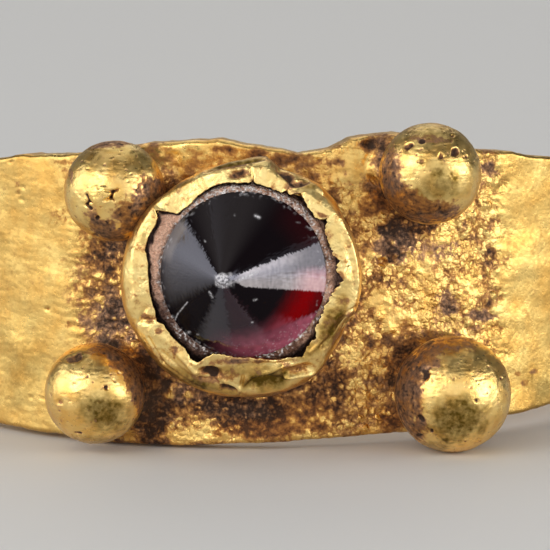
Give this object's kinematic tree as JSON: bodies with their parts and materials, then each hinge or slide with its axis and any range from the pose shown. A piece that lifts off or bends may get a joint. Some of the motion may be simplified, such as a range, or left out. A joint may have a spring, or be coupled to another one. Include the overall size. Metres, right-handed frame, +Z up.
{
  "type": "gemstone ring",
  "caption": "Broad gold band ring with a cone-cut dark red stone in a round crimped collet and a gold granule at each corner of the bezel.",
  "frame": {"origin": "on the surface that the ring lies on, under the middle of the whole ring", "axes": "+Z up from that surface; the bezel and its stone face -Y, and the back of the hoop is at +Y; +X is to the right of someone who looks at the bezel"},
  "size_m": [0.0194, 0.0226, 0.0078],
  "materials": {
    "gold": "worn, hammered gold with brown patina in the corners",
    "garnet": "polished, very dark red, with a small worn tip",
    "bedding_paste": "dull, crusted pinkish brown"
  },
  "bodies": {
    "root": {"hoop_and_setting": "gold", "stone": "garnet", "bedding": "bedding_paste"}
  },
  "joints": []
}
